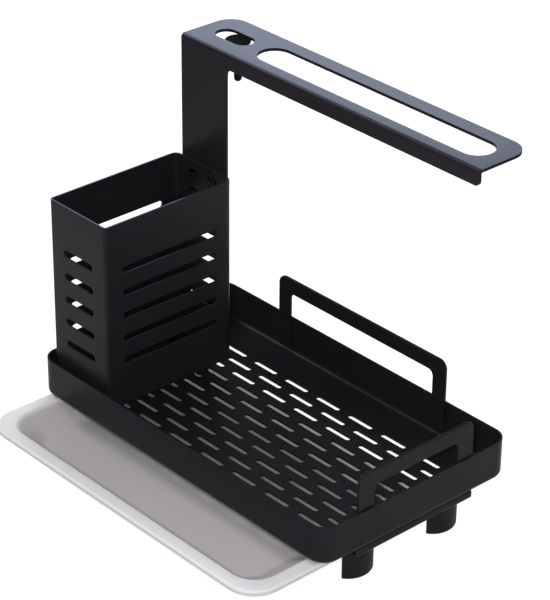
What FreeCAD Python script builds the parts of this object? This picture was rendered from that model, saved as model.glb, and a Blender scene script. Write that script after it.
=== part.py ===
"""Sponge holder for the sink: a slotted tray on D-shaped feet, with a brush box, a towel arm and a drip tray.

Lengths are millimetres. X runs along the tray, with the brush box at the -X end, Y runs to the back, Z is up.
The origin lies on the counter, in the middle of the holder's footprint with the drip tray pulled out.
"""
import FreeCAD, Part
import math
import os
import re

import Sketcher

SIZES = {
    # Sheet metal tray, drawn in one piece
    "tray_length": 260.0,
    "tray_width": 152.0,
    "tray_height": 25.6,
    "tray_corner": 12.0,
    "tray_bend": 4.0,
    "tray_sheet": 1.2,
    # Least radius left on the inside of a bend
    "least_bend": 0.4,
    # Brick pattern of drain slots in the tray's floor
    "drain_length": 20.6,
    "drain_width": 3.5,
    "drain_pitch": 29.1,
    "drain_columns": 8,
    "drain_row_pitch": 9.55,
    "drain_rows": 15,
    "drain_shift": 2.1,
    # Channel runners under both ends, which carry the feet and guide the drip tray
    "runner_inset": 2.5,
    "runner_length": 93.6,
    "runner_height": 6.5,
    "runner_depth": 11.6,
    "runner_sheet": 1.2,
    "runner_bend": 2.0,
    # D-shaped feet, with two studs each that fill holes in the runner
    "foot_height": 20.8,
    "foot_radius": 15.3,
    "foot_flat": 8.6,
    "foot_inset": 5.2,
    "foot_spread": 69.0,
    "foot_round": 1.5,
    "stud_diameter": 3.0,
    "stud_spread": 10.0,
    "stud_clearance": 0.1,
    # Moulded drip tray, which slides along Y in the runners
    "drip_width": 150.0,
    "drip_depth": 13.0,
    "drip_wall": 1.5,
    "drip_rim": 8.6,
    "drip_corner": 19.0,
    "drip_round": 1.4,
    "drip_end_slope": 17.5,
    "drip_side_slope": 10.0,
    "drip_mouth_corner": 17.0,
    "drip_floor_corner": 12.0,
    "drip_floor_round": 8.0,
    "drip_side_gap": 2.3,
    "drip_seat_gap": 0.3,
    "drip_top_gap": 0.5,
    "drip_shift": -1.5,
    "drip_pull": 47.8,
    # Brush box, folded from one slotted sheet
    "box_width": 53.6,
    "box_depth": 100.2,
    "box_height": 125.8,
    "box_sheet": 1.2,
    "box_side_gap": 6.6,
    "box_front_gap": 5.1,
    "box_lift": 9.0,
    "box_front_bend": 2.4,
    "box_back_bend": 5.0,
    "vent_levels": 5,
    "vent_pitch": 15.7,
    "vent_height": 4.5,
    "vent_drop": 32.2,
    "vent_long": 74.0,
    "vent_short": 27.0,
    # Pan that closes the brush box below
    "pan_height": 6.0,
    "pan_sheet": 1.2,
    "pan_gap": 0.1,
    "pan_drain_length": 18.0,
    "pan_drain_width": 4.0,
    "pan_drain_edge": 11.1,
    "pan_drain_rows": 7,
    # Towel arm: one plate, folded along the front edge of its top
    "arm_length": 251.4,
    "arm_width": 41.9,
    "arm_rise": 81.5,
    "arm_setback": 5.6,
    "arm_sheet": 2.0,
    "arm_flange": 10.1,
    "arm_bend": 2.5,
    "arm_corner": 13.0,
    "arm_tip": 3.0,
    "post_width": 41.3,
    "post_overlap": 41.0,
    "post_corner": 4.0,
    "post_fillet": 5.0,
    "arm_slot_centre": 20.7,
    "short_slot_start": 11.4,
    "short_slot_length": 29.4,
    "short_slot_width": 13.9,
    "long_slot_start": 51.7,
    "long_slot_end": 10.9,
    "long_slot_width": 22.0,
    # Hanging peg under the arm's short slot
    "peg_place": 26.3,
    "peg_back": 23.0,
    "peg_disc": 16.0,
    "peg_disc_thickness": 2.0,
    "peg_diameter": 5.0,
    "peg_length": 27.7,
    "peg_end_round": 2.4,
    # Guard rails inside the tray's back and right-hand rims
    "rail_sheet": 2.0,
    "rail_bar": 10.4,
    "rail_outer_round": 6.0,
    "rail_inner_round": 4.0,
    "rail_floor_gap": 0.3,
    "back_rail_length": 149.1,
    "back_rail_shift": 2.6,
    "back_rail_rise": 28.7,
    "back_rail_post": 10.6,
    "end_rail_length": 92.4,
    "end_rail_shift": -1.6,
    "end_rail_rise": 24.2,
    "end_rail_post": 12.6,
    # Screws and nuts
    "screw_diameter": 4.0,
    "screw_clearance": 0.4,
    "head_diameter": 7.0,
    "head_height": 1.1,
    "nut_width": 7.0,
    "nut_height": 3.0,
    "screw_end": 1.0,
    "spacer_diameter": 9.0,
    "box_screw_spread": 30.0,
    "box_screw_edge": 7.5,
    "arm_screw_spread": 18.0,
    "arm_screw_pitch": 14.0,
    "arm_screw_drop": 8.2,
}

# Places worked out from the sizes, in the tray's own frame: the tray's middle is x = y = 0
TRAY_UNDER = "(foot_height + runner_height)"
TRAY_FLOOR = f"({TRAY_UNDER} + tray_sheet)"
RIM_TOP = f"({TRAY_UNDER} + tray_height)"
TRAY_END = "(tray_length / 2)"
TRAY_SIDE = "(tray_width / 2)"
BOX_LEFT = f"(-{TRAY_END} + tray_sheet + box_side_gap)"
BOX_RIGHT = f"({BOX_LEFT} + box_width)"
BOX_MID_X = f"({BOX_LEFT} + box_width / 2)"
BOX_FRONT = f"(-{TRAY_SIDE} + tray_sheet + box_front_gap)"
BOX_BACK = f"({BOX_FRONT} + box_depth)"
BOX_MID_Y = f"({BOX_FRONT} + box_depth / 2)"
BOX_UNDER = f"({TRAY_FLOOR} + box_lift)"
BOX_TOP = f"({BOX_UNDER} + box_height)"
ARM_LEFT = f"({BOX_LEFT} + arm_setback)"
ARM_RIGHT = f"({ARM_LEFT} + arm_length)"
ARM_TOP = f"({BOX_TOP} + arm_rise)"
ARM_BACK = f"({BOX_BACK} + arm_width)"
POST_RIGHT = f"({ARM_LEFT} + post_width)"
POST_UNDER = f"({BOX_TOP} - post_overlap)"
POST_MID = f"({ARM_LEFT} + post_width / 2)"
RUNNER_FACE = f"({TRAY_END} - runner_inset)"
DRIP_END = f"({RUNNER_FACE} - runner_sheet - drip_side_gap)"
DRIP_SIDE = "(drip_width / 2)"
DRIP_RIM_UNDER = "(foot_height + runner_sheet + drip_seat_gap)"
DRIP_RIM_TOP = f"({TRAY_UNDER} - runner_sheet - drip_top_gap)"
ORIGIN_X = f"(({ARM_RIGHT} - {TRAY_END}) / 2)"
ORIGIN_Y = f"(({TRAY_SIDE} - {DRIP_SIDE} - drip_pull) / 2)"
SCREW_HOLE = "(screw_diameter + screw_clearance)"
FOOT_X = f"({RUNNER_FACE} - foot_inset - foot_radius)"
STUD_X = "((foot_radius + foot_flat) / 2)"

# How near an edge lies to a level to count as on it, and a quarter turn
TOUCH = 0.01
QUARTER = math.pi / 2

doc = FreeCAD.newDocument("sponge_holder")
sheet = doc.addObject("Spreadsheet::Sheet", "Sizes")
nodes = []


def fill_sheet():
    """Writes each driving size to its own cell."""
    for line, (name, size) in enumerate(SIZES.items(), start=1):
        sheet.set(f"A{line}", name)
        sheet.set(f"B{line}", str(size))
        sheet.setAlias(f"B{line}", name)
    doc.recompute()


def bound(expression):
    """The expression with each size's name pointed at its cell."""
    return re.sub(r"[a-z]+(_[a-z]+)+", lambda word: f"Sizes.{word.group(0)}", expression)


def number(expression):
    """What an expression comes to."""
    result = sheet.evalExpression(expression)
    return float(getattr(result, "Value", result))


def bind(thing, prop, expression):
    """Ties a property to the sheet."""
    thing.setExpression(prop, bound(expression))


def place(thing, x="0", y="0", z="0", turn=None):
    """Puts a sub-part at a point of the tray's frame, moved to the holder's origin."""
    thing.Placement = FreeCAD.Placement(FreeCAD.Vector(), turn or FreeCAD.Rotation())
    bind(thing, "Placement.Base.x", f"{x} - {ORIGIN_X}")
    bind(thing, "Placement.Base.y", f"{y} - {ORIGIN_Y}")
    bind(thing, "Placement.Base.z", z)


def half_turn():
    """Half a turn about Z, from the +X end of the tray to the other."""
    return FreeCAD.Rotation(FreeCAD.Vector(0, 0, 1), 180)


def new_body(label, x="0", y="0", z="0", turn=None):
    """A body that is one node."""
    body = doc.addObject("PartDesign::Body", label)
    body.Label = label
    place(body, x, y, z, turn)
    nodes.append(body)
    return body


def new_sketch(body, name, role, level="0"):
    """A sketch on one of the body's own planes, moved to a level along X, Y or Z."""
    plane = next(part for part in body.Origin.OriginFeatures if part.Role == role)
    sketch = body.newObject("Sketcher::SketchObject", f"{body.Label}_{name}")
    sketch.AttachmentSupport = [(plane, "")]
    sketch.MapMode = "FlatFace"
    sign = "-1" if role == "XZ_Plane" else "1"
    bind(sketch, "AttachmentOffset.Base.z", f"{sign} * ({level})")
    return sketch


def hold_point(sketch, geometry, end, x, y):
    """Ties a point of a sketch to its coordinates."""
    for kind, expression in (("DistanceX", x), ("DistanceY", y)):
        rule = Sketcher.Constraint(kind, -1, 1, geometry, end, number(expression))
        index = sketch.addConstraint(rule)
        bind(sketch, f"Constraints[{index}]", expression)


def hold_size(sketch, kind, geometry, expression):
    """Ties a radius or diameter of a sketch to the sheet."""
    index = sketch.addConstraint(Sketcher.Constraint(kind, geometry, number(expression)))
    bind(sketch, f"Constraints[{index}]", expression)


def join(sketch, kind, first, second):
    """Joins the end of one piece of an outline to the start of the next."""
    sketch.addConstraint(Sketcher.Constraint(kind, first, 2, second, 1))


def outline(sketch, corners):
    """A closed polygon through corners given as pairs of expressions."""
    points = [FreeCAD.Vector(number(x), number(y), 0) for x, y in corners]
    count = len(points)
    lines = [Part.LineSegment(points[i], points[(i + 1) % count]) for i in range(count)]
    sketch.addGeometry(lines)
    for i in range(count):
        join(sketch, "Coincident", i, (i + 1) % count)
    for i, (x, y) in enumerate(corners):
        hold_point(sketch, i, 1, x, y)


def rounded_rectangle(sketch, half_length, half_width, radius):
    """A rectangle about the sketch's origin with four round corners."""
    length, width, bend = number(half_length), number(half_width), number(radius)
    centres = [(length - bend, width - bend), (bend - length, width - bend),
               (bend - length, bend - width), (length - bend, bend - width)]
    arcs = []
    for turn, (x, y) in enumerate(centres):
        circle = Part.Circle(FreeCAD.Vector(x, y, 0), FreeCAD.Vector(0, 0, 1), bend)
        arcs.append(Part.ArcOfCircle(circle, turn * QUARTER, (turn + 1) * QUARTER))
    for turn, arc in enumerate(arcs):
        sketch.addGeometry(arc)
        sketch.addGeometry(Part.LineSegment(arc.EndPoint, arcs[(turn + 1) % 4].StartPoint))
    for i in range(8):
        join(sketch, "Tangent", i, (i + 1) % 8)
    for line in (1, 5):
        sketch.addConstraint(Sketcher.Constraint("Horizontal", line))
    for line in (3, 7):
        sketch.addConstraint(Sketcher.Constraint("Vertical", line))
    for arc in (2, 4, 6):
        sketch.addConstraint(Sketcher.Constraint("Equal", 0, arc))
    hold_size(sketch, "Radius", 0, radius)
    hold_point(sketch, 0, 3, f"{half_length} - {radius}", f"{half_width} - {radius}")
    hold_point(sketch, 4, 3, f"{radius} - {half_length}", f"{radius} - {half_width}")


def slot(sketch, x, y, length, width):
    """A slot with round ends along the sketch's first axis, about the point x, y."""
    reach, radius = number(f"({length} - {width}) / 2"), number(f"{width} / 2")
    middle = FreeCAD.Vector(number(x), number(y), 0)
    arcs = []
    for side, start in ((1, -QUARTER), (-1, QUARTER)):
        centre = middle + FreeCAD.Vector(side * reach, 0, 0)
        circle = Part.Circle(centre, FreeCAD.Vector(0, 0, 1), radius)
        arcs.append(Part.ArcOfCircle(circle, start, start + 2 * QUARTER))
    for arc, other in (arcs, arcs[::-1]):
        sketch.addGeometry(arc)
        sketch.addGeometry(Part.LineSegment(arc.EndPoint, other.StartPoint))
    for i in range(4):
        join(sketch, "Tangent", i, (i + 1) % 4)
    sketch.addConstraint(Sketcher.Constraint("Equal", 0, 2))
    hold_size(sketch, "Radius", 0, f"{width} / 2")
    hold_point(sketch, 0, 3, f"{x} + ({length} - {width}) / 2", y)
    hold_point(sketch, 2, 3, f"{x} - ({length} - {width}) / 2", y)


def circles(sketch, centres, diameter):
    """Round holes or studs of one diameter."""
    for i, (x, y) in enumerate(centres):
        centre = FreeCAD.Vector(number(x), number(y), 0)
        sketch.addGeometry(Part.Circle(centre, FreeCAD.Vector(0, 0, 1), number(diameter) / 2))
        hold_size(sketch, "Diameter", i, diameter)
        hold_point(sketch, i, 3, x, y)


def pad(body, sketch, length, back=False, both=False):
    """Adds material from a sketch, along its normal or against it."""
    feature = body.newObject("PartDesign::Pad", f"{sketch.Name}_pad")
    feature.Profile = sketch
    bind(feature, "Length", length)
    feature.Reversed = back
    feature.SideType = "Symmetric" if both else "One side"
    doc.recompute()
    return feature


def pocket(body, sketch, length=None, back=False, both=False):
    """Cuts a sketch into the body, against its normal, to a length or right through."""
    before = body.Shape.Volume
    feature = body.newObject("PartDesign::Pocket", f"{sketch.Name}_cut")
    feature.Profile = sketch
    feature.Reversed = back
    feature.SideType = "Symmetric" if both else "One side"
    if length is None:
        feature.Type = "ThroughAll"
    else:
        bind(feature, "Length", length)
    doc.recompute()
    if not body.Shape.Volume < before:
        raise RuntimeError(f"{feature.Name} cuts nothing")
    return feature


def pattern(body, feature, first, second=None):
    """Repeats a feature along one or two of its sketch's axes, each with a step and a count."""
    sketch = feature.Profile[0]
    rows = body.newObject("PartDesign::LinearPattern", f"{feature.Name}_row")
    rows.Originals = [feature]
    for suffix, run in (("", first), ("2", second)):
        if run is None:
            continue
        axis, step, count = run
        setattr(rows, f"Direction{suffix}", (sketch, [axis]))
        setattr(rows, f"Mode{suffix}", "Spacing")
        bind(rows, f"Offset{suffix}", step)
        bind(rows, f"Occurrences{suffix}", count)
    body.Tip = rows
    doc.recompute()


def level(edge, axis, expression):
    """Whether an edge lies at one level of X, Y or Z."""
    box = edge.BoundBox
    low, high = getattr(box, f"{axis}Min"), getattr(box, f"{axis}Max")
    target = number(expression)
    return abs(low - target) < TOUCH and abs(high - target) < TOUCH


def round_edges(body, name, radius, *levels):
    """Rounds the edges that lie at all the given levels."""
    base = body.Tip
    shape = base.Shape
    picked = [f"Edge{i}" for i, edge in enumerate(shape.Edges, start=1)
              if all(level(edge, axis, expression) for axis, expression in levels)]
    feature = body.newObject("PartDesign::Fillet", f"{body.Label}_{name}")
    feature.Base = (base, picked)
    bind(feature, "Radius", radius)
    doc.recompute()


def slotted_tray():
    """The drawn tray with its brick pattern of drain slots."""
    body = new_body("slotted_tray")
    blank = new_sketch(body, "blank", "XY_Plane", TRAY_UNDER)
    rounded_rectangle(blank, TRAY_END, TRAY_SIDE, "tray_corner")
    pad(body, blank, "tray_height")
    inside = new_sketch(body, "inside", "XY_Plane", TRAY_FLOOR)
    rounded_rectangle(inside, f"({TRAY_END} - tray_sheet)", f"({TRAY_SIDE} - tray_sheet)",
                      "(tray_corner - tray_sheet)")
    pocket(body, inside, "tray_height", back=True)
    round_edges(body, "inner_bend", "max(tray_bend - tray_sheet; least_bend)", ("Z", TRAY_FLOOR))
    round_edges(body, "outer_bend", "tray_bend", ("Z", TRAY_UNDER))
    # Rows with one slot less lie at the front and back, and every second row between them is full
    front_row = "(-drain_row_pitch * (drain_rows - 1) / 2)"
    outer = ("outer", front_row, "ceil(drain_rows / 2)", "(drain_columns - 1)")
    between = ("between", f"({front_row} + drain_row_pitch)", "floor(drain_rows / 2)", "drain_columns")
    for name, row, rows, columns in (outer, between):
        sketch = new_sketch(body, f"{name}_drains", "XY_Plane", TRAY_FLOOR)
        left = f"(drain_shift - ({columns} - 1) * drain_pitch / 2)"
        slot(sketch, left, row, "drain_length", "drain_width")
        along = ("H_Axis", "drain_pitch", columns)
        across = ("V_Axis", "2 * drain_row_pitch", rows)
        pattern(body, pocket(body, sketch), along, across)
    holes = new_sketch(body, "box_holes", "XY_Plane", TRAY_FLOOR)
    circles(holes, box_screw_places(), SCREW_HOLE)
    pocket(body, holes)


def box_screw_places():
    """The four screws of the brush box, each half way between two rows of drain slots."""
    half = "(drain_rows / 2 - floor(drain_rows / 2))"
    front = f"(ceil(({BOX_FRONT} + box_screw_edge) / drain_row_pitch - {half}) + {half})"
    back = f"(floor(({BOX_BACK} - box_screw_edge) / drain_row_pitch - {half}) + {half})"
    rows = (f"({front} * drain_row_pitch)", f"({back} * drain_row_pitch)")
    columns = (f"({BOX_MID_X} - box_screw_spread / 2)", f"({BOX_MID_X} + box_screw_spread / 2)")
    return [(x, y) for x in columns for y in rows]


def arm_screw_places():
    """The four screws that hold the post to the brush box, as x and z."""
    columns = (f"({POST_MID} - arm_screw_spread / 2)", f"({POST_MID} + arm_screw_spread / 2)")
    levels = (f"({BOX_TOP} - arm_screw_drop)", f"({BOX_TOP} - arm_screw_drop - arm_screw_pitch)")
    return [(x, z) for x in columns for z in levels]


def box_outline(inset="0"):
    """The brush box's plan, moved inwards by an inset."""
    left, right = f"({BOX_LEFT} + {inset})", f"({BOX_RIGHT} - {inset})"
    front, back = f"({BOX_FRONT} + {inset})", f"({BOX_BACK} - {inset})"
    return [(left, front), (right, front), (right, back), (left, back)]


def round_box(body, name, inset):
    """Rounds the upright edges of a plan that lies an inset inside the brush box."""
    for side, line, bend in (("front", f"{BOX_FRONT} + {inset}", "box_front_bend"),
                             ("back", f"{BOX_BACK} - {inset}", "box_back_bend")):
        for edge_x in (f"{BOX_LEFT} + {inset}", f"{BOX_RIGHT} - {inset}"):
            hand = "left" if edge_x.startswith(BOX_LEFT) else "right"
            radius = f"max({bend} - {inset}; least_bend)"
            round_edges(body, f"{name}_{side}_{hand}", radius, ("X", edge_x), ("Y", line))


def brush_box():
    """The four slotted walls of the brush box."""
    body = new_body("brush_box")
    blank = new_sketch(body, "blank", "XY_Plane", BOX_UNDER)
    outline(blank, box_outline())
    pad(body, blank, "box_height")
    inside = new_sketch(body, "inside", "XY_Plane", BOX_UNDER)
    outline(inside, box_outline("box_sheet"))
    pocket(body, inside, "box_height", back=True)
    round_box(body, "inner", "box_sheet")
    round_box(body, "outer", "0")
    lowest = f"({BOX_TOP} - vent_drop - (vent_levels - 1) * vent_pitch)"
    levels = ("V_Axis", "vent_pitch", "vent_levels")
    sides = new_sketch(body, "side_vents", "YZ_Plane")
    slot(sides, BOX_MID_Y, lowest, "vent_long", "vent_height")
    pattern(body, pocket(body, sides), levels)
    ends = new_sketch(body, "end_vents", "XZ_Plane", BOX_MID_Y)
    slot(ends, BOX_MID_X, lowest, "vent_short", "vent_height")
    pattern(body, pocket(body, ends, both=True), levels)
    holes = new_sketch(body, "arm_holes", "XZ_Plane", BOX_MID_Y)
    circles(holes, arm_screw_places(), SCREW_HOLE)
    pocket(body, holes)


def brush_box_pan():
    """The pan that closes the brush box below, with its drain slots."""
    body = new_body("brush_box_pan")
    rim = "(box_sheet + pan_gap)"
    blank = new_sketch(body, "blank", "XY_Plane", BOX_UNDER)
    outline(blank, box_outline(rim))
    pad(body, blank, "pan_height")
    wall = f"({rim} + pan_sheet)"
    inside = new_sketch(body, "inside", "XY_Plane", f"{BOX_UNDER} + pan_sheet")
    outline(inside, box_outline(wall))
    pocket(body, inside, "pan_height", back=True)
    round_box(body, "inner", wall)
    round_box(body, "outer", rim)
    drains = new_sketch(body, "drains", "XY_Plane", f"{BOX_UNDER} + pan_sheet")
    slot(drains, BOX_MID_X, f"({BOX_FRONT} + pan_drain_edge)", "pan_drain_length", "pan_drain_width")
    pitch = "((box_depth - 2 * pan_drain_edge) / (pan_drain_rows - 1))"
    pattern(body, pocket(body, drains), ("V_Axis", pitch, "pan_drain_rows"))
    holes = new_sketch(body, "holes", "XY_Plane", f"{BOX_UNDER} + pan_sheet")
    circles(holes, box_screw_places(), SCREW_HOLE)
    pocket(body, holes)


def towel_arm():
    """The arm and its post, folded from one plate."""
    body = new_body("towel_arm")
    inner_front = f"({BOX_BACK} + arm_sheet)"
    flange_under = f"({ARM_TOP} - arm_flange)"
    front = new_sketch(body, "front", "XZ_Plane", BOX_BACK)
    outline(front, [(ARM_LEFT, POST_UNDER), (POST_RIGHT, POST_UNDER), (POST_RIGHT, flange_under),
                    (ARM_RIGHT, flange_under), (ARM_RIGHT, ARM_TOP), (ARM_LEFT, ARM_TOP)])
    pad(body, front, "arm_sheet", back=True)
    for name, x in (("left", ARM_LEFT), ("right", POST_RIGHT)):
        round_edges(body, f"post_{name}", "post_corner", ("X", x), ("Z", POST_UNDER))
    round_edges(body, "post_fillet", "post_fillet", ("X", POST_RIGHT), ("Z", flange_under))
    round_edges(body, "tip", "arm_tip", ("X", ARM_RIGHT), ("Z", flange_under))
    top = new_sketch(body, "top", "XY_Plane", ARM_TOP)
    outline(top, [(ARM_LEFT, BOX_BACK), (ARM_RIGHT, BOX_BACK), (ARM_RIGHT, ARM_BACK), (ARM_LEFT, ARM_BACK)])
    pad(body, top, "arm_sheet", back=True)
    for name, x in (("left", ARM_LEFT), ("right", ARM_RIGHT)):
        round_edges(body, f"corner_{name}", "arm_corner", ("X", x), ("Y", ARM_BACK))
    round_edges(body, "outer_bend", "arm_bend", ("Y", BOX_BACK), ("Z", ARM_TOP))
    round_edges(body, "inner_bend", "max(arm_bend - arm_sheet; least_bend)", ("Y", inner_front),
                ("Z", f"{ARM_TOP} - arm_sheet"))
    slot_y = f"({BOX_BACK} + arm_slot_centre)"
    for name, length in (("short_slot", "short_slot_length"),
                         ("long_slot", "(arm_length - long_slot_start - long_slot_end)")):
        opening = new_sketch(body, name, "XY_Plane", ARM_TOP)
        middle = f"({ARM_LEFT} + {name}_start + {length} / 2)"
        slot(opening, middle, slot_y, length, f"{name}_width")
        pocket(body, opening)
    holes = new_sketch(body, "holes", "XZ_Plane", BOX_BACK)
    circles(holes, arm_screw_places(), SCREW_HOLE)
    pocket(body, holes)


def hanging_peg():
    """The turned peg under the arm's short slot: a disc with a round-ended pin."""
    body = new_body("hanging_peg", f"{ARM_LEFT} + peg_place", f"{BOX_BACK} + peg_back",
                    f"{ARM_TOP} - arm_sheet")
    disc = new_sketch(body, "disc", "XY_Plane")
    circles(disc, [("0", "0")], "peg_disc")
    pad(body, disc, "peg_disc_thickness", back=True)
    pin = new_sketch(body, "pin", "XY_Plane")
    circles(pin, [("0", "0")], "peg_diameter")
    pad(body, pin, "peg_length", back=True)
    round_edges(body, "end", "peg_end_round", ("Z", "-peg_length"))


def guard_rail(label, role, face):
    """A flat guard rail, an upturned U whose legs lie on the inside of the tray's rim."""
    body = new_body(label)
    low = f"({TRAY_UNDER} + tray_bend + rail_floor_gap)"
    high = f"({RIM_TOP} + {label}_rise)"
    left = f"({label}_shift - {label}_length / 2)"
    right = f"({label}_shift + {label}_length / 2)"
    inner_left, inner_right = f"({left} + {label}_post)", f"({right} - {label}_post)"
    under = f"({high} - rail_bar)"
    frame = new_sketch(body, "frame", role, f"{face} - rail_sheet")
    outline(frame, [(left, low), (inner_left, low), (inner_left, under), (inner_right, under),
                    (inner_right, low), (right, low), (right, high), (left, high)])
    pad(body, frame, "rail_sheet", back=role == "XZ_Plane")
    across = "X" if role == "XZ_Plane" else "Y"
    for name, outer, inner in (("left", left, inner_left), ("right", right, inner_right)):
        round_edges(body, f"outer_{name}", "rail_outer_round", (across, outer), ("Z", high))
        round_edges(body, f"inner_{name}", "rail_inner_round", (across, inner), ("Z", under))


def runner(label, turn=None):
    """A channel under one end of the tray, open towards the middle."""
    body = new_body(label, turn=turn)
    edge, web = f"({RUNNER_FACE} - runner_depth)", f"({RUNNER_FACE} - runner_sheet)"
    low, ledge = "foot_height", "(foot_height + runner_sheet)"
    high, ceiling = TRAY_UNDER, f"({TRAY_UNDER} - runner_sheet)"
    profile = new_sketch(body, "profile", "XZ_Plane")
    outline(profile, [(RUNNER_FACE, low), (RUNNER_FACE, high), (edge, high), (edge, ceiling),
                      (web, ceiling), (web, ledge), (edge, ledge), (edge, low)])
    pad(body, profile, "runner_length", both=True)
    for name, outer, inner in (("low", low, ledge), ("high", high, ceiling)):
        round_edges(body, f"outer_{name}", "runner_bend", ("X", RUNNER_FACE), ("Z", outer))
        round_edges(body, f"inner_{name}", "max(runner_bend - runner_sheet; least_bend)", ("X", web), ("Z", inner))
    holes = new_sketch(body, "stud_holes", "XY_Plane", low)
    places = [(f"({FOOT_X} + {STUD_X})", f"({side} * foot_spread / 2 + {hand} * stud_spread / 2)")
              for side in ("-1", "1") for hand in ("-1", "1")]
    circles(holes, places, "(stud_diameter + 2 * stud_clearance)")
    pocket(body, holes, "2 * runner_sheet", back=True)


def foot(label, side, turn=None):
    """A foot with a flat face towards the drip tray and two studs on top."""
    hand = "-1" if turn else "1"
    body = new_body(label, f"{hand} * {FOOT_X}", f"{side} * foot_spread / 2", turn=turn)
    plan = new_sketch(body, "plan", "XY_Plane")
    radius, flat = number("foot_radius"), number("foot_flat")
    reach = (radius ** 2 - flat ** 2) ** 0.5
    front, back = FreeCAD.Vector(flat, -reach, 0), FreeCAD.Vector(flat, reach, 0)
    plan.addGeometry(Part.Arc(front, FreeCAD.Vector(radius, 0, 0), back))
    plan.addGeometry(Part.LineSegment(back, front))
    join(plan, "Coincident", 0, 1)
    join(plan, "Coincident", 1, 0)
    plan.addConstraint(Sketcher.Constraint("Coincident", 0, 3, -1, 1))
    plan.addConstraint(Sketcher.Constraint("Vertical", 1))
    hold_size(plan, "Radius", 0, "foot_radius")
    index = plan.addConstraint(Sketcher.Constraint("DistanceX", -1, 1, 1, 1, flat))
    bind(plan, f"Constraints[{index}]", "foot_flat")
    pad(body, plan, "foot_height")
    round_edges(body, "sole", "foot_round", ("Z", "0"))
    studs = new_sketch(body, "studs", "XY_Plane", "foot_height")
    circles(studs, [(STUD_X, "-stud_spread / 2"), (STUD_X, "stud_spread / 2")], "stud_diameter")
    pad(body, studs, "runner_sheet")


def drip_tray():
    """The moulded drip tray: a shallow bowl hung from a broad rim with a turned-down lip."""
    body = new_body("drip_tray", "drip_shift", "-drip_pull")
    lip = new_sketch(body, "lip", "XY_Plane", DRIP_RIM_UNDER)
    rounded_rectangle(lip, DRIP_END, DRIP_SIDE, "drip_corner")
    pad(body, lip, f"{DRIP_RIM_TOP} - {DRIP_RIM_UNDER}")
    under = new_sketch(body, "under_rim", "XY_Plane", DRIP_RIM_UNDER)
    rounded_rectangle(under, f"({DRIP_END} - drip_wall)", f"({DRIP_SIDE} - drip_wall)",
                      "(drip_corner - drip_wall)")
    pocket(body, under, f"{DRIP_RIM_TOP} - {DRIP_RIM_UNDER} - drip_wall", back=True)
    mouth_end, mouth_side = f"({DRIP_END} - drip_rim)", f"({DRIP_SIDE} - drip_rim)"
    floor_end, floor_side = f"({mouth_end} - drip_end_slope)", f"({mouth_side} - drip_side_slope)"
    base = f"({DRIP_RIM_TOP} - drip_depth)"
    bowls = (("outside", "PartDesign::AdditiveLoft", base, f"({DRIP_RIM_TOP} - drip_wall)", "drip_wall"),
             ("hollow", "PartDesign::SubtractiveLoft", f"({base} + drip_wall)", DRIP_RIM_TOP, "0"))
    for name, kind, low, high, grow in bowls:
        floor = new_sketch(body, f"{name}_floor", "XY_Plane", low)
        rounded_rectangle(floor, f"({floor_end} + {grow})", f"({floor_side} + {grow})",
                          f"(drip_floor_corner + {grow})")
        mouth = new_sketch(body, f"{name}_mouth", "XY_Plane", high)
        rounded_rectangle(mouth, f"({mouth_end} + {grow})", f"({mouth_side} + {grow})",
                          f"(drip_mouth_corner + {grow})")
        bowl = body.newObject(kind, f"{body.Label}_{name}")
        bowl.Profile = floor
        bowl.Sections = [mouth]
        bowl.Ruled = True
        doc.recompute()
    round_edges(body, "rim_round", "drip_round", ("Z", DRIP_RIM_TOP))
    round_edges(body, "floor_inner", "drip_floor_round", ("Z", f"{base} + drip_wall"))
    round_edges(body, "floor_outer", "drip_floor_round + drip_wall", ("Z", base))


def cylinder(name, radius, height, x, y, z, turn=None):
    """A cylinder on a point, along Z unless it is turned."""
    part = doc.addObject("Part::Cylinder", name)
    bind(part, "Radius", radius)
    bind(part, "Height", height)
    place(part, x, y, z, turn)
    return part


def group(label, solids):
    """Several like pieces that share one node."""
    node = doc.addObject("Part::Compound", label)
    node.Label = label
    node.Links = solids
    nodes.append(node)


def screw(name, grip, x, y, z, turn=None, sink=("0", "0", "0")):
    """A pan-head screw whose head rests at a point, with the shank along Z unless it is turned."""
    head = cylinder(f"{name}_head", "head_diameter / 2", "head_height",
                    f"{x} - {sink[0]}", f"{y} - {sink[1]}", f"{z} - {sink[2]}", turn)
    shank = cylinder(f"{name}_shank", "screw_diameter / 2", grip, x, y, z, turn)
    whole = doc.addObject("Part::Fuse", name)
    whole.Base = head
    whole.Tool = shank
    return whole


def nut(name, x, y, z, turn=None):
    """A hexagon nut on a screw."""
    blank = doc.addObject("Part::Prism", f"{name}_blank")
    blank.Polygon = 6
    bind(blank, "Circumradius", "nut_width / sqrt(3)")
    bind(blank, "Height", "nut_height")
    place(blank, x, y, z, turn)
    bore = cylinder(f"{name}_bore", "screw_diameter / 2", "nut_height", x, y, z, turn)
    whole = doc.addObject("Part::Cut", name)
    whole.Base = blank
    whole.Tool = bore
    return whole


def box_fasteners():
    """Spacers, screws and nuts that hold the brush box above the tray's floor."""
    spacers, screws, nuts = [], [], []
    pan_floor = f"({BOX_UNDER} + pan_sheet)"
    grip = f"{pan_floor} + nut_height + screw_end - {TRAY_UNDER}"
    for i, (x, y) in enumerate(box_screw_places()):
        tube = cylinder(f"box_spacer_{i}_tube", "spacer_diameter / 2", "box_lift", x, y, TRAY_FLOOR)
        bore = cylinder(f"box_spacer_{i}_bore", f"{SCREW_HOLE} / 2", "box_lift", x, y, TRAY_FLOOR)
        spacer = doc.addObject("Part::Cut", f"box_spacer_{i}")
        spacer.Base = tube
        spacer.Tool = bore
        spacers.append(spacer)
        screws.append(screw(f"box_screw_{i}", grip, x, y, TRAY_UNDER, sink=("0", "0", "head_height")))
        nuts.append(nut(f"box_nut_{i}", x, y, pan_floor))
    group("box_spacers", spacers)
    group("box_screws", screws)
    group("box_nuts", nuts)


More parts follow.
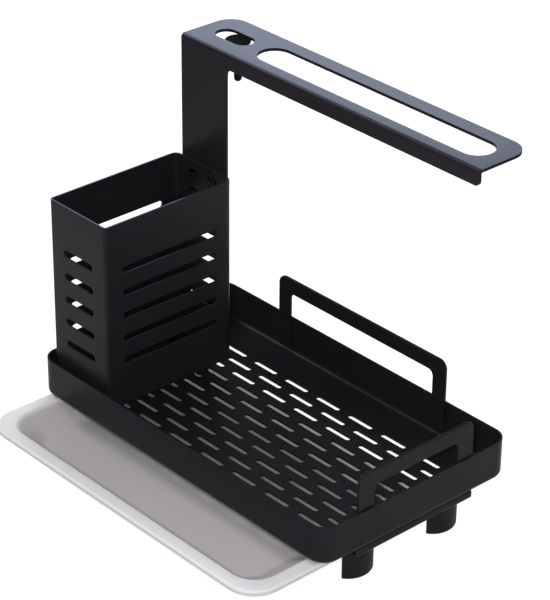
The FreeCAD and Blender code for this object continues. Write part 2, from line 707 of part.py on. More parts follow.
def arm_fasteners():
    """Screws and nuts that hold the post to the brush box's back wall."""
    screws, nuts = [], []
    along_y = FreeCAD.Rotation(FreeCAD.Vector(1, 0, 0), -90)
    wall = f"({BOX_BACK} - box_sheet)"
    grip = "box_sheet + arm_sheet + nut_height + screw_end"
    for i, (x, z) in enumerate(arm_screw_places()):
        screws.append(screw(f"arm_screw_{i}", grip, x, wall, z, along_y, ("0", "head_height", "0")))
        nuts.append(nut(f"arm_nut_{i}", x, f"({BOX_BACK} + arm_sheet)", z, along_y))
    group("arm_screws", screws)
    group("arm_nuts", nuts)


def check():
    """Stops if any step of the model failed."""
    for thing in doc.Objects:
        if "Invalid" in thing.State or "Error" in thing.State:
            raise RuntimeError(f"{thing.Name} failed: {thing.State}")
    for node in nodes:
        if node.Shape.isNull() or not node.Shape.isValid():
            raise RuntimeError(f"{node.Label} has no sound shape")


def main():
    """Builds every piece and writes one file for each."""
    fill_sheet()
    slotted_tray()
    brush_box()
    brush_box_pan()
    towel_arm()
    hanging_peg()
    guard_rail("back_rail", "XZ_Plane", f"({TRAY_SIDE} - tray_sheet)")
    guard_rail("end_rail", "YZ_Plane", f"({TRAY_END} - tray_sheet)")
    runner("runner_right")
    runner("runner_left", half_turn())
    foot("foot_front_right", "-1")
    foot("foot_back_right", "1")
    foot("foot_front_left", "-1", half_turn())
    foot("foot_back_left", "1", half_turn())
    drip_tray()
    box_fasteners()
    arm_fasteners()
    doc.recompute()
    check()
    os.makedirs("parts", exist_ok=True)
    for node in nodes:
        node.Shape.exportStep(f"parts/{node.Label}.step")
        print(node.Label, len(node.Shape.Solids), "solid(s)")


main()
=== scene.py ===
"""Looks of the sponge holder: the finish of every piece, its fasteners in full, studio light and camera.

Lengths are metres in the frame of the holder, and sizes in millimetres carry mm in their names. X runs along
the tray, with the brush box at the -X end, Y runs to the back and Z is up.
"""
import logging
import math
from dataclasses import dataclass
from enum import Enum
from typing import Any, Callable

import bmesh
import bpy
from mathutils import Matrix, Vector


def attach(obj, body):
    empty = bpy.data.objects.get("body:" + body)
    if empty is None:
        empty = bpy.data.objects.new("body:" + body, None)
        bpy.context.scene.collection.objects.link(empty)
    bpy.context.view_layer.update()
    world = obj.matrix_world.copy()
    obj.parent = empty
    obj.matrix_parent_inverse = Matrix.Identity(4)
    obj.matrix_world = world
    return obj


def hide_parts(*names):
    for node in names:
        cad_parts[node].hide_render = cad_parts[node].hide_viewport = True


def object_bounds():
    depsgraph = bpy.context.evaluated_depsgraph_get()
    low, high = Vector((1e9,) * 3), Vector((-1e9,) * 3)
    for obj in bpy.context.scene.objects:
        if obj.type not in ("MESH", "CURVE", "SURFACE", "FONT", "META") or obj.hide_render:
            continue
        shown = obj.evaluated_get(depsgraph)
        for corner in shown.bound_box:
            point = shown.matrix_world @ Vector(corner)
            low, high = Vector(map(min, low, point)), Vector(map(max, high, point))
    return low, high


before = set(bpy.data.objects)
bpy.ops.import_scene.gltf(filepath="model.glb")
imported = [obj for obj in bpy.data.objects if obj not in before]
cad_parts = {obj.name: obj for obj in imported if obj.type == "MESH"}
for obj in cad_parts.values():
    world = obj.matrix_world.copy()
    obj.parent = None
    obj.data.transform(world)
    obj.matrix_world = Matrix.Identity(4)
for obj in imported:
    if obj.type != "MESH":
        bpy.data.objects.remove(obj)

CAD_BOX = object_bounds()
MM = 0.001
# Vertices this near each other are one point of the surface
WELD = 0.002 * MM
# Facets that turn by less than this lie in one flat face, and by more than the next have an edge between them
FLAT_TURN = math.radians(0.6)
EDGE_TURN = math.radians(32.0)
# Facets across an eased edge
EASE_STEPS = 2
# Shading of the frame's own facets, which a copy with other facets must lose
STALE = ("custom_normal", "sharp_edge", "sharp_face")

log = logging.getLogger("sponge_holder")
# Points round an axis, in millimetres
Ring = list[Vector]
# Colours of the studio: its paper and lamps, and the panel with a daylight gel
WHITE = "#FFFFFF"
COOL_WHITE = "#C8D3EE"


class Body(Enum):
    """The two bodies of the holder."""

    HOLDER = "holder"
    DRIP_TRAY = "drip_tray"


class Slot(Enum):
    """Material slots of the record."""

    COATED_STEEL = "coated_steel"
    FOOT_RUBBER = "foot_rubber"
    DRIP_PLASTIC = "drip_plastic"
    SPACER_PLASTIC = "spacer_plastic"
    SCREW_STEEL = "screw_steel"


class Axis(Enum):
    """The way that a screw points from its head, as the turn about X that brings +Z there."""

    UP = 0.0
    BACK = -math.pi / 2


def linear(colour: str) -> tuple[float, float, float, float]:
    """Turns an sRGB hex colour into linear light.

    Args:
        colour: Six hex digits after a hash sign.

    Returns:
        Red, green, blue and an alpha of one.
    """
    shades = [int(colour[i:i + 2], 16) / 255 for i in (1, 3, 5)]
    red, green, blue = [s / 12.92 if s <= 0.04045 else ((s + 0.055) / 1.055) ** 2.4 for s in shades]
    return red, green, blue, 1.0


def add_node(tree: bpy.types.NodeTree, kind: str, inputs: dict[str | int, Any] | None = None,
             **settings: Any) -> bpy.types.Node:
    """Adds a shader node with its settings and links.

    Args:
        tree: Node tree that takes the node.
        kind: Class name of the node, without its ShaderNode prefix.
        inputs: For each socket, a value or the output socket that feeds it.
        **settings: Properties of the node itself.

    Returns:
        The new node.
    """
    node = tree.nodes.new(f"ShaderNode{kind}")
    for name, value in settings.items():
        setattr(node, name, value)
    for socket, value in (inputs or {}).items():
        if isinstance(value, bpy.types.NodeSocket):
            tree.links.new(value, node.inputs[socket])
        else:
            node.inputs[socket].default_value = value
    return node


@dataclass(frozen=True)
class Finish:
    """A surface with a mottled colour, an uneven gloss and a fine relief.

    Attributes:
        name: Name of the material.
        colour: Main colour, as sRGB hex.
        second: Colour that the mottling fades to, as sRGB hex.
        mottle_mm: Width of the mottling's clouds.
        roughness: Mean roughness.
        unevenness: How far the roughness strays from its mean.
        relief_mm: Width of the waves or grains of the relief.
        depth_mm: Depth of the relief.
        detail: Levels of finer relief on the first.
        mottle_detail: Levels of finer clouds on the first.
        specular: Strength of the reflection that is not metal's.
        metallic: One for bare metal.
        glow: Share of the light that spreads inside before it comes out.
        glow_mm: How far that light spreads.
        painted_shade: Colour of the painted shade, which stands in for the shade low on the piece, as sRGB
            hex.
        painted_shade_mm: Height below which the painted shade is full, and height above which there is none.
    """

    name: str
    colour: str
    second: str
    mottle_mm: float
    roughness: float
    unevenness: float
    relief_mm: float
    depth_mm: float
    detail: float = 2.0
    mottle_detail: float = 3.0
    specular: float = 0.5
    metallic: float = 0.0
    glow: float = 0.0
    glow_mm: float = 0.0
    painted_shade: str = ""
    painted_shade_mm: tuple[float, float] = (0.0, 0.0)

    def material(self) -> bpy.types.Material:
        """Makes the material, or gives it back if it was made before.

        Returns:
            The material with its nodes.
        """
        known = bpy.data.materials.get(self.name)
        if known:
            return known
        made = bpy.data.materials.new(self.name)
        made.use_nodes = True
        made.diffuse_color = linear(self.colour)
        tree = made.node_tree
        tree.nodes.clear()
        place = add_node(tree, "TexCoord").outputs["Object"]
        clouds = self.noise(tree, place, self.mottle_mm, self.mottle_detail)
        # The two colours of a colour mix are its inputs 6 and 7, and its colour is output 2
        colour = add_node(tree, "Mix", {6: linear(self.colour), 7: linear(self.second), "Factor": clouds},
                          data_type="RGBA").outputs[2]
        # Painted shade: below a height the colour fades to a darker grey, standing in for the shade that
        # falls there
        if self.painted_shade:
            low, high = self.painted_shade_mm
            height = add_node(tree, "SeparateXYZ", {0: place}).outputs["Z"]
            unshaded = add_node(tree, "MapRange", {
                "Value": height, "From Min": low * MM, "From Max": high * MM,
            }).outputs["Result"]
            colour = add_node(tree, "Mix", {6: linear(self.painted_shade), 7: colour, "Factor": unshaded},
                              data_type="RGBA").outputs[2]
        relief = self.noise(tree, place, self.relief_mm, self.detail)
        gloss = add_node(tree, "MapRange", {
            "Value": relief,
            "To Min": self.roughness - self.unevenness,
            "To Max": self.roughness + self.unevenness,
        })
        bump = add_node(tree, "Bump", {"Height": relief, "Distance": self.depth_mm * MM})
        surface = add_node(tree, "BsdfPrincipled", {
            "Base Color": colour,
            "Roughness": gloss.outputs["Result"],
            "Normal": bump.outputs["Normal"],
            "Specular IOR Level": self.specular,
            "Metallic": self.metallic,
            "Subsurface Weight": self.glow,
            "Subsurface Radius": (1.0, 1.0, 1.0),
            "Subsurface Scale": self.glow_mm * MM,
        })
        add_node(tree, "OutputMaterial", {"Surface": surface.outputs["BSDF"]})
        return made

    @staticmethod
    def noise(tree: bpy.types.NodeTree, place: bpy.types.NodeSocket, width_mm: float,
              detail: float) -> bpy.types.NodeSocket:
        """Adds a noise whose waves have a real width.

        Args:
            tree: Node tree that takes the noise.
            place: Socket with the place on the object, in metres.
            width_mm: Width of the widest waves.
            detail: Levels of finer waves.

        Returns:
            The socket with the height, from nought to one.
        """
        scale = 1 / (width_mm * MM)
        return add_node(tree, "TexNoise", {"Vector": place, "Scale": scale, "Detail": detail}).outputs["Fac"]


# Mild steel sheet, bead-blasted and powder coated. The cured powder flows into a faint orange peel, which
# breaks up the soft reflection of the room on a near-black with a breath of violet.
POWDER_COAT = Finish(
    "powder_coated_steel_satin_black", "#1A171B", "#1F1C21", mottle_mm=30.0, roughness=0.33, unevenness=0.05,
    relief_mm=1.5, depth_mm=0.010, specular=0.09,
)
# Natural rubber with carbon black, pressed in a polished mould. It is as dark as the steel, but duller, so
# the feet's round fronts shade off softly.
MOULDED_RUBBER = Finish(
    "moulded_rubber_black", "#161416", "#1B181B", mottle_mm=12.0, roughness=0.46, unevenness=0.06,
    relief_mm=0.7, depth_mm=0.008, specular=0.15,
)
# Polypropylene, injection moulded in a lightly spark-eroded mould. Light spreads a little way into it, which
# gives a soft waxy sheen. The bowl below the rim has painted shade: its colour greys to stand in for the
# shade that falls in it, while the rim stays pale. The mould's grain is drawn coarser than it is, to show at
# all.
MOULDED_PLASTIC = Finish(
    "moulded_polypropylene_pale_grey", "#D8D5D9", "#D1CED2", mottle_mm=40.0, roughness=0.42, unevenness=0.06,
    relief_mm=0.6, depth_mm=0.006, specular=0.4, glow=0.3, glow_mm=2.0, painted_shade="#B3AFB3", painted_shade_mm=(23.6, 25.3),
)
# Nylon tube, cut and black all through, with a dull face from the saw.
CUT_NYLON = Finish(
    "cut_nylon_black", "#141314", "#1B1A1B", mottle_mm=6.0, roughness=0.55, unevenness=0.08,
    relief_mm=0.5, depth_mm=0.01, specular=0.4,
)
# Glass-filled nylon, moulded. The fibres near its skin, which are drawn coarser than they are, make it flat
# and duller than the coated steel.
MOULDED_NYLON = Finish(
    "moulded_glass_filled_nylon_black", "#0B0A0C", "#100F11", mottle_mm=5.0, roughness=0.62, unevenness=0.08,
    relief_mm=0.4, depth_mm=0.012, specular=0.15,
)
# Carbon steel, turned and zinc plated with a black passivate, so it is a dark metal with a soft shine. The
# plating's grain is drawn coarser than it is.
BLACK_ZINC = Finish(
    "zinc_plated_steel_black_passivate", "#3A383A", "#454244", mottle_mm=4.0, roughness=0.34, unevenness=0.08,
    relief_mm=0.5, depth_mm=0.004, metallic=1.0,
)


def new_piece(name: str, form: bmesh.types.BMesh, node: str, body: Body, finish: Finish) -> bpy.types.Object:
    """Puts a form in the scene as a piece that stands for a frame node.

    Args:
        name: Name of the piece.
        form: Its form in the holder's frame, which is freed.
        node: The frame node that it stands for.
        body: The body that it rides on.
        finish: Its finish.

    Returns:
        The new object.
    """
    mesh = bpy.data.meshes.new(name)
    form.to_mesh(mesh)
    form.free()
    piece = bpy.data.objects.new(name, mesh)
    bpy.context.scene.collection.objects.link(piece)
    mesh.materials.clear()
    mesh.materials.append(finish.material())
    mesh.shade_smooth()
    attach(piece, body.value)
    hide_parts(node)
    log.info("%s: %d faces on %s", name, len(mesh.polygons), body.value)
    return piece


def node_form(node: str) -> bmesh.types.BMesh:
    """Copies the form of a frame node, with its facets joined up.

    Args:
        node: The frame node.

    Returns:
        The copy, which the caller frees.
    """
    form = bmesh.new()
    form.from_mesh(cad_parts[node].data)
    bmesh.ops.remove_doubles(form, verts=form.verts, dist=WELD)
    return form


def eased_piece(node: str, edge_mm: float, body: Body, finish: Finish,
                clamped: bool = True) -> bpy.types.Object:
    """Makes a piece from a frame node, with its sharp edges eased as a coat or a mould eases them.

    Args:
        node: The frame node.
        edge_mm: Width of the eased edge.
        body: The body that the piece rides on.
        finish: Its finish.
        clamped: Whether the shortest facet beside an edge limits the width.

    Returns:
        The new object.
    """
    form = node_form(node)
    bmesh.ops.dissolve_limit(form, angle_limit=FLAT_TURN, verts=form.verts, edges=form.edges)
    piece = new_piece(f"{node}_eased", form, node, body, finish)
    for name in STALE:
        if name in piece.data.attributes:
            piece.data.attributes.remove(piece.data.attributes[name])
    bevel = piece.modifiers.new("eased_edges", "BEVEL")
    bevel.width = edge_mm * MM
    bevel.use_clamp_overlap = clamped
    bevel.segments = EASE_STEPS
    bevel.limit_method = "ANGLE"
    bevel.angle_limit = EDGE_TURN
    bevel.harden_normals = True
    return piece


def solid_boxes(node: str) -> list[tuple[Vector, Vector]]:
    """Finds the box round each separate solid of a frame node.

    Args:
        node: The frame node.

    Returns:
        The low and the high corner of each box, in order of the low corners.
    """
    form = node_form(node)
    left = set(form.verts)
    boxes = []
    while left:
        solid = [left.pop()]
        for vert in solid:
            near = [other for edge in vert.link_edges if (other := edge.other_vert(vert)) in left]
            left.difference_update(near)
            solid.extend(near)
        axes = list(zip(*(vert.co for vert in solid)))
        boxes.append((Vector([min(axis) for axis in axes]), Vector([max(axis) for axis in axes])))
    form.free()
    return sorted(boxes, key=lambda box: tuple(box[0]))


def skin(form: bmesh.types.BMesh, rings: list[list[bmesh.types.BMVert]], closed: bool) -> None:
    """Stretches a skin over rings that all have the same count of points.

    Args:
        form: The form that holds the points.
        rings: The rings in order.
        closed: Whether the last ring joins the first, instead of each having an end face.
    """
    pairs = list(zip(rings, rings[1:]))
    if closed:
        pairs.append((rings[-1], rings[0]))
    else:
        form.faces.new(rings[0])
        form.faces.new(rings[-1])
    for lower, upper in pairs:
        for i, vert in enumerate(lower):
            form.faces.new((lower[i - 1], vert, upper[i], upper[i - 1]))


@dataclass
class SlottedTray:
    """The drawn tray with its drain slots, and the guard rails inside its rim.

    Attributes:
        rim_edge_mm: Eased edge of the tray's rim and slots.
        rail_edge_mm: Eased edge of the rails.
    """

    rim_edge_mm: float = 0.35
    rail_edge_mm: float = 0.45

    def build(self) -> None:
        """Dresses the tray and both rails."""
        eased_piece("slotted_tray", self.rim_edge_mm, Body.HOLDER, POWDER_COAT)
        for rail in ("back_rail", "end_rail"):
            eased_piece(rail, self.rail_edge_mm, Body.HOLDER, POWDER_COAT)


@dataclass
class BrushBox:
    """The slotted box, the pan that closes it below and the spacers that it stands on.

    Attributes:
        vent_edge_mm: Eased edge of the vents.
        rim_edge_mm: Eased edge of the walls' rim.
        pan_edge_mm: Eased edge of the pan.
        spacer_edge_mm: Eased edge of the spacers.
    """

    vent_edge_mm: float = 0.5
    rim_edge_mm: float = 0.12
    pan_edge_mm: float = 0.3
    spacer_edge_mm: float = 0.3

    def build(self) -> None:
        """Dresses the walls, the pan and the spacers below it."""
        walls = eased_piece("brush_box", self.vent_edge_mm, Body.HOLDER, POWDER_COAT,
                            clamped=False)
        self.keep_rim(walls)
        eased_piece("brush_box_pan", self.pan_edge_mm, Body.HOLDER, POWDER_COAT)
        eased_piece("box_spacers", self.spacer_edge_mm, Body.HOLDER, CUT_NYLON)

    def keep_rim(self, walls: bpy.types.Object) -> None:
        """Keeps the rim crisper than the vents, so that its flat top still catches the light.

        Args:
            walls: The box's walls, with all edges eased alike.
        """
        form = bmesh.new()
        form.from_mesh(walls.data)
        weight = form.edges.layers.float.new("bevel_weight_edge")
        top = max(vert.co.z for vert in form.verts)
        for edge in form.edges:
            if edge.calc_face_angle(0.0) > EDGE_TURN:
                at_rim = all(vert.co.z > top - WELD for vert in edge.verts)
                edge[weight] = self.rim_edge_mm / self.vent_edge_mm if at_rim else 1.0
        form.to_mesh(walls.data)
        form.free()
        walls.modifiers["eased_edges"].limit_method = "WEIGHT"


@dataclass
class TowelArm:
    """The folded arm with its post, and the peg in its short slot.

    Attributes:
        edge_mm: Eased edge of both.
    """

    edge_mm: float = 0.4

    def build(self) -> None:
        """Dresses the arm and the peg."""
        eased_piece("towel_arm", self.edge_mm, Body.HOLDER, POWDER_COAT)
        eased_piece("hanging_peg", self.edge_mm, Body.HOLDER, MOULDED_NYLON)


@dataclass
class Undercarriage:
    """The channel runners under both ends, and the four D-shaped feet.

    Attributes:
        runner_edge_mm: Eased edge of the runners.
        foot_edge_mm: Eased edge of the feet.
    """

    runner_edge_mm: float = 0.3
    foot_edge_mm: float = 0.6

    def build(self) -> None:
        """Dresses the runners and the feet."""
        for node in ("runner_left", "runner_right"):
            eased_piece(node, self.runner_edge_mm, Body.HOLDER, POWDER_COAT)
        for row in ("front", "back"):
            for end in ("left", "right"):
                eased_piece(f"foot_{row}_{end}", self.foot_edge_mm, Body.HOLDER, MOULDED_RUBBER)


@dataclass
class DripTray:
    """The moulded tray that slides out below.

    Attributes:
        edge_mm: Eased edge of its rim.
    """

    edge_mm: float = 0.7

    def build(self) -> None:
        """Dresses the drip tray."""
        eased_piece("drip_tray", self.edge_mm, Body.DRIP_TRAY, MOULDED_PLASTIC)


@dataclass
class Fasteners:
    """The pan-head screws and hexagon nuts, with cross recesses, threads and chamfers.

    Attributes:
        steps: Points round each screw and nut.
        head_mm: Height of a head.
        head_wide_mm: Width of a head.
        dome_mm: How far a head falls from its middle to its edge.
        dome_power: How late it falls, as the power of the share of the way out.
        dome_rings: Rings of points from a head's middle to its edge.
        recess_mm: Depth of the cross recess.
        reach_mm: Reach of the recess from the middle.
        wing_mm: Half the width of a wing of the recess.
        draft_mm: Run of the recess's sloping walls.
        thread_wide_mm: Width over the thread's crests.
        thread_mm: Length of the thread.
        pitch_mm: Pitch of the thread.
        groove_mm: Depth of the thread's groove.
        pitch_rings: Rings of points in each turn of the thread.
        point_mm: Length of the chamfer at the tip.
        nut_wide_mm: Width of a nut over its flats.
        nut_bore_mm: Width of its bore.
        nut_face: Width of the flat face that the chamfer leaves, as a share of the nut's.
        bore_edge_mm: Chamfer of the bore.
    """

    steps: int = 48
    head_mm: float = 1.1
    head_wide_mm: float = 7.0
    dome_mm: float = 0.45
    dome_power: int = 4
    dome_rings: int = 20
    recess_mm: float = 0.7
    reach_mm: float = 1.9
    wing_mm: float = 0.45
    draft_mm: float = 0.2
    thread_wide_mm: float = 4.0
    thread_mm: float = 5.6
    pitch_mm: float = 0.7
    groove_mm: float = 0.4
    pitch_rings: int = 6
    point_mm: float = 0.5
    nut_wide_mm: float = 7.0
    nut_bore_mm: float = 4.0
    nut_face: float = 0.95
    bore_edge_mm: float = 0.35

    def build(self) -> None:
        """Makes the screws and nuts of the brush box and of the arm."""
        for set_name, axis in (("box", Axis.UP), ("arm", Axis.BACK)):
            self.dress(f"{set_name}_screws", axis, self.screw, False)
            self.dress(f"{set_name}_nuts", axis, self.nut, True)

    def dress(self, node: str, axis: Axis, shape: Callable[[float], list[Ring]], closed: bool) -> None:
        """Puts a detailed fastener in the place of each solid of a frame node.

        Args:
            node: The frame node.
            axis: The way that its fasteners point.
            shape: Gives the rings of a fastener of a length in millimetres.
            closed: Whether the last ring joins the first, instead of each having an end face.
        """
        form = bmesh.new()
        turn = Matrix.Rotation(axis.value, 3, "X")
        along = turn @ Vector((0, 0, 1))
        for low, high in solid_boxes(node):
            length = (high - low).dot(along)
            foot = (low + high - along * length) / 2
            rings = []
            for ring in shape(length / MM):
                rings.append([form.verts.new(foot + turn @ (point * MM)) for point in ring])
            skin(form, rings, closed)
        bmesh.ops.recalc_face_normals(form, faces=form.faces)
        piece = new_piece(f"{node}_detailed", form, node, Body.HOLDER, BLACK_ZINC)
        piece.data.set_sharp_from_angle(angle=EDGE_TURN)

    def ring(self, radius: Callable[[float], float], height: Callable[[float], float]) -> Ring:
        """Makes one ring of points round the axis.

        Args:
            radius: The ring's radius at an angle.
            height: Its height at an angle.

        Returns:
            The points in millimetres.
        """
        points = []
        for step in range(self.steps):
            angle = 2 * math.pi * step / self.steps
            reach = radius(angle)
            points.append(Vector((reach * math.cos(angle), reach * math.sin(angle), height(angle))))
        return points

    def top(self, radius: float, angle: float) -> float:
        """Gives the height of a head's top, which looks down from nought.

        Args:
            radius: How far out the point lies.
            angle: Its angle.

        Returns:
            The height in millimetres.
        """
        sides = sorted((abs(radius * math.cos(angle)), abs(radius * math.sin(angle))))
        in_wing = min(max((self.wing_mm - sides[0]) / self.draft_mm, 0.0), 1.0)
        in_reach = min(max((self.reach_mm - sides[1]) / self.draft_mm, 0.0), 1.0)
        dome = self.dome_mm * (2 * radius / self.head_wide_mm) ** self.dome_power
        return dome + self.recess_mm * in_wing * in_reach

    def screw(self, length: float) -> list[Ring]:
        """Makes a screw that points up, with its head's top at nought.

        Args:
            length: Length over all.

        Returns:
            Its rings, from the middle of the head to the tip.
        """
        rings = []
        for step in range(1, self.dome_rings + 1):
            reach = self.head_wide_mm / 2 * step / self.dome_rings
            rings.append(self.ring(lambda a: reach, lambda a: self.top(reach, a)))
        rings.append(self.ring(lambda a: self.head_wide_mm / 2, lambda a: self.head_mm))
        rings.append(self.ring(lambda a: self.thread_wide_mm / 2, lambda a: self.head_mm))
        turns = math.ceil(self.thread_mm / self.pitch_mm * self.pitch_rings)
        for step in range(turns + 1):
            level = length - self.thread_mm + self.thread_mm * step / turns
            rings.append(self.ring(lambda a: self.crest(level, a, length), lambda a: level))
        return rings

    def crest(self, level: float, angle: float, length: float) -> float:
        """Gives the radius of the thread, a helix with a V-shaped groove.

        Args:
            level: Height along the screw.
            angle: Angle round it.
            length: Length of the screw.

        Returns:
            The radius in millimetres.
        """
        phase = (level / self.pitch_mm - angle / (2 * math.pi)) % 1.0
        started = min((level - length + self.thread_mm) / self.pitch_mm, 1.0)
        pointed = max(level - length + self.point_mm, 0.0)
        return self.thread_wide_mm / 2 - self.groove_mm * started * abs(2 * phase - 1) - pointed

    def nut(self, height: float) -> list[Ring]:
        """Makes a hexagon nut that stands on nought.

        Args:
            height: Its height.

        Returns:
            Its rings, once round the section.
        """
        flat, sixth = self.nut_wide_mm / 2, math.pi / 3
        face, bore, edge = flat * self.nut_face, self.nut_bore_mm / 2, self.bore_edge_mm

        def side(angle: float) -> float:
            """Gives the radius of the hexagon at an angle."""
            return flat / math.cos(angle % sixth - sixth / 2)

        def fall(angle: float) -> float:
            """Gives how far the chamfer has fallen at the hexagon's side."""
            return (side(angle) - face) * math.tan(sixth / 2)

        section = ((lambda a: bore, lambda a: edge), (lambda a: bore + edge, lambda a: 0.0),
                   (lambda a: face, lambda a: 0.0), (side, fall), (side, lambda a: height - fall(a)),
                   (lambda a: face, lambda a: height), (lambda a: bore + edge, lambda a: height),
                   (lambda a: bore, lambda a: height - edge))
        return [self.ring(radius, level) for radius, level in section]


@dataclass(frozen=True)
class Softbox:
    """A soft rectangular lamp that faces a point.

    Attributes:
        name: Name of the lamp.
        place: Where it hangs.
        target: The point that it faces.
        size: Its width and height.
        power: Its power in watts.
        colour: Its colour, as sRGB hex.
        in_gloss: Whether a gloss mirrors it.
        on_matte: Whether it lights what scatters the light.
        only_on: The pieces that it lights, or none for all that it reaches.
    """

    name: str
    place: Vector
    target: Vector
    size: tuple[float, float]
    power: float
    colour: str = WHITE
    in_gloss: bool = True
    on_matte: bool = True
    only_on: tuple[str, ...] = ()

    def hang(self) -> None:
        """Hangs the lamp in the scene, out of the camera's sight."""
        lamp = bpy.data.lights.new(self.name, "AREA")
        lamp.shape = "RECTANGLE"
        lamp.size, lamp.size_y = self.size
        lamp.energy = self.power
        lamp.color = linear(self.colour)[:3]
        box = bpy.data.objects.new(self.name, lamp)
        bpy.context.scene.collection.objects.link(box)
        box.location = self.place
        box.rotation_euler = (self.target - box.location).to_track_quat("-Z", "Y").to_euler()
        box.visible_camera = False
        box.visible_glossy = self.in_gloss
        box.visible_diffuse = self.on_matte
        if self.only_on:
            lit = bpy.data.collections.new(f"{self.name}_pieces")
            for name in self.only_on:
                lit.objects.link(bpy.data.objects[name])
            box.light_linking.receiver_collection = lit


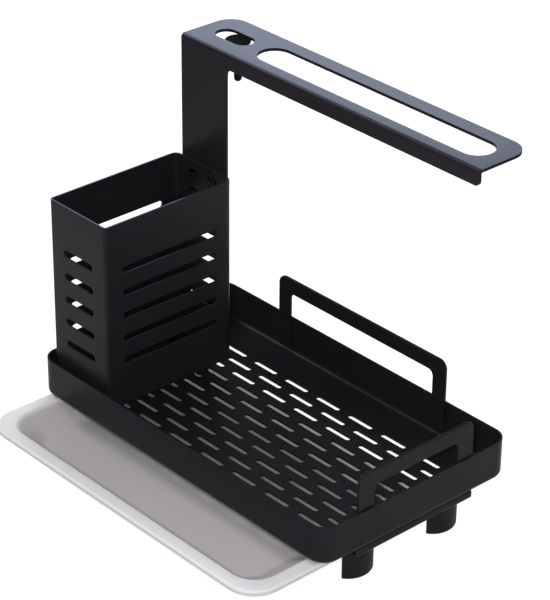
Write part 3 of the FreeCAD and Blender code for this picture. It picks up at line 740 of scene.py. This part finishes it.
@dataclass
class Studio:
    """Pale floor, soft light and the camera.

    Attributes:
        place: Where the camera stands.
        azimuth: Turn of the camera round the holder from the front, in degrees.
        elevation: How far it looks down, in degrees.
        roll: Its tilt about its own line of sight, in degrees.
        lens_mm: Focal length.
        sensor_mm: Width of the sensor.
        key_share: How far the key softbox hangs from the holder, as a share of the way to the camera.
        floor_size: Side of the floor.
        floor_shadow: Share of the floor's brightness that its shadow can take away.
        floor_glow: Brightness of the rest, with some to spare so that the paper stays white.
        mirrored_shade: Brightness of the rest in a gloss that mirrors the floor close by, in the shade.
        mirrored_glow: Brightness of the rest in a gloss that mirrors the floor further out.
        shade_reach: Distances from the holder's middle over which the shade gives way to the lit floor.
        painted_pool_edge: Distances from the holder's middle over which a painted pool of light fades to a
            dark room.
        fill: Strength of the light from all round.
        horizon: Strength of the surroundings that a gloss mirrors near the horizon.
        sky: Strength of the surroundings that a gloss mirrors higher up.
        sky_rise: Height of a mirrored direction at which the surroundings are as dim as the sky.
    """

    place: tuple[float, float, float] = (0.9502, -0.8388, 0.8362)
    azimuth: float = 47.72
    elevation: float = 29.17
    roll: float = 0.59
    lens_mm: float = 148.26
    sensor_mm: float = 36.0
    key_share: float = 0.73
    floor_size: float = 12.0
    floor_shadow: float = 0.3
    floor_glow: float = 1.25
    mirrored_shade: float = 0.5
    mirrored_glow: float = 1.0
    shade_reach: tuple[float, float] = (0.16, 0.36)
    painted_pool_edge: tuple[float, float] = (0.43, 0.48)
    fill: float = 0.35
    horizon: float = 0.5
    sky: float = 0.15
    sky_rise: float = 0.35

    def build(self) -> None:
        """Makes the floor, the world, the lamps and the camera."""
        self.floor()
        self.world()
        for softbox in self.softboxes():
            softbox.hang()
        self.camera()
        bpy.context.scene.view_settings.view_transform = "Standard"

    def softboxes(self) -> list[Softbox]:
        """Lists the lamps.

        Returns:
            The key and the left softbox, the back softbox and the panel over the arm.
        """
        middle = (CAD_BOX[0] + CAD_BOX[1]) / 2
        # The key shines along the line of sight, down through the slots on to the drip tray below. It has a
        # polarising sheet, so that no gloss shows its glare.
        key = Softbox("key_softbox", place=middle.lerp(Vector(self.place), self.key_share), target=middle,
                      size=(0.11, 0.11), power=7.7, in_gloss=False)
        # A wide and distant light from the left fills in what faces away from the key
        left = Softbox("left_softbox", place=Vector((-2.25, -0.75, 2.5)), target=middle,
                       size=(1.5, 1.5), power=42.0)
        # A light behind the holder shows its back, with a polarising sheet like the key's
        back = Softbox("back_softbox", place=Vector((-1.5, 2.2, 1.0)), target=middle,
                       size=(1.5, 1.5), power=75.0, in_gloss=False)
        # A cool panel above and behind the arm is only there to be mirrored, by the arm and the brush box's
        # walls. Flags keep it off everything else.
        panel = Softbox("arm_softbox", place=Vector((-0.139, 0.160, 0.310)),
                        target=Vector((-0.039, 0.070, 0.237)), size=(0.34, 0.22), power=1.5,
                        colour=COOL_WHITE, on_matte=False, only_on=("towel_arm_eased", "brush_box_eased"))
        return [key, left, back, panel]

    def floor(self) -> None:
        """Makes the pale floor, which the camera sees white with a soft shadow."""
        form = bmesh.new()
        bmesh.ops.create_grid(form, x_segments=1, y_segments=1, size=self.floor_size / 2)
        mesh = bpy.data.meshes.new("studio_floor")
        form.to_mesh(mesh)
        form.free()
        floor = bpy.data.objects.new("studio_floor", mesh)
        bpy.context.scene.collection.objects.link(floor)
        paper = bpy.data.materials.new("white_backdrop_paper")
        paper.use_nodes = True
        tree = paper.node_tree
        tree.nodes.clear()
        matte = add_node(tree, "BsdfDiffuse", {"Color": linear(WHITE)})
        path = add_node(tree, "LightPath").outputs
        gloss = add_node(tree, "Math", {0: path["Is Glossy Ray"], 1: path["Is Transmission Ray"]},
                         operation="MAXIMUM").outputs[0]
        place = add_node(tree, "TexCoord").outputs["Object"]
        reach = add_node(tree, "VectorMath", {0: place}, operation="LENGTH").outputs["Value"]
        # Painted shade and painted light: a gloss sees the floor dimmer close to the holder, standing in for
        # its shade, then a painted pool of light that fades to dark further out
        lit = add_node(tree, "MapRange", {
            "Value": reach, "From Min": self.shade_reach[0], "From Max": self.shade_reach[1],
            "To Min": self.mirrored_shade, "To Max": self.mirrored_glow,
        })
        mirrored = add_node(tree, "MapRange", {
            "Value": reach, "From Min": self.painted_pool_edge[0], "From Max": self.painted_pool_edge[1],
            "To Min": lit.outputs["Result"], "To Max": 0.0,
        })
        level = add_node(tree, "MapRange", {
            "Value": gloss, "To Min": self.floor_glow, "To Max": mirrored.outputs["Result"],
        })
        glow = add_node(tree, "Emission", {"Color": linear(WHITE), "Strength": level.outputs["Result"]})
        seen = add_node(tree, "Math", {0: path["Is Camera Ray"], 1: gloss}, operation="MAXIMUM").outputs[0]
        share = add_node(tree, "Math", {0: seen, 1: 1 - self.floor_shadow}, operation="MULTIPLY")
        mixed = add_node(tree, "MixShader", {0: share.outputs[0], 1: matte.outputs[0], 2: glow.outputs[0]})
        add_node(tree, "OutputMaterial", {"Surface": mixed.outputs[0]})
        mesh.materials.append(paper)

    def world(self) -> None:
        """Makes the surroundings: white to the camera, a dim room to a gloss and plain fill to the rest."""
        world = bpy.data.worlds.new("white_room")
        bpy.context.scene.world = world
        world.use_nodes = True
        tree = world.node_tree
        tree.nodes.clear()
        path = add_node(tree, "LightPath").outputs
        place = add_node(tree, "TexCoord").outputs["Generated"]
        rise = add_node(tree, "SeparateXYZ", {0: place}).outputs["Z"]
        room = add_node(tree, "MapRange", {
            "Value": rise, "From Max": self.sky_rise, "To Min": self.horizon, "To Max": self.sky,
        })
        unseen = add_node(tree, "MapRange", {
            "Value": path["Is Glossy Ray"], "To Min": self.fill, "To Max": room.outputs["Result"],
        })
        strength = add_node(tree, "MapRange", {
            "Value": path["Is Camera Ray"], "To Min": unseen.outputs["Result"], "To Max": 1.0,
        }).outputs["Result"]
        sky = add_node(tree, "Background", {"Color": linear(WHITE), "Strength": strength})
        add_node(tree, "OutputWorld", {"Surface": sky.outputs["Background"]})

    def camera(self) -> None:
        """Sets the camera up at the photograph's angle."""
        lens = bpy.data.cameras.new("photo_camera")
        lens.lens = self.lens_mm
        lens.sensor_width = self.sensor_mm
        camera = bpy.data.objects.new("photo_camera", lens)
        bpy.context.scene.collection.objects.link(camera)
        turn = Matrix.Rotation(math.radians(self.azimuth), 4, "Z")
        pitch = Matrix.Rotation(math.radians(90 - self.elevation), 4, "X")
        tilt = Matrix.Rotation(math.radians(self.roll), 4, "Z")
        camera.matrix_world = Matrix.Translation(self.place) @ turn @ pitch @ tilt
        bpy.context.scene.camera = camera


def main() -> None:
    """Builds the sub-assemblies in order, then the studio."""
    logging.basicConfig(level=logging.INFO, format="%(name)s %(message)s")
    holder = (SlottedTray(), BrushBox(), TowelArm(), Undercarriage(), DripTray(), Fasteners())
    for assembly in (*holder, Studio()):
        log.info("building %s", type(assembly).__name__)
        assembly.build()


if __name__ == "__main__":
    main()
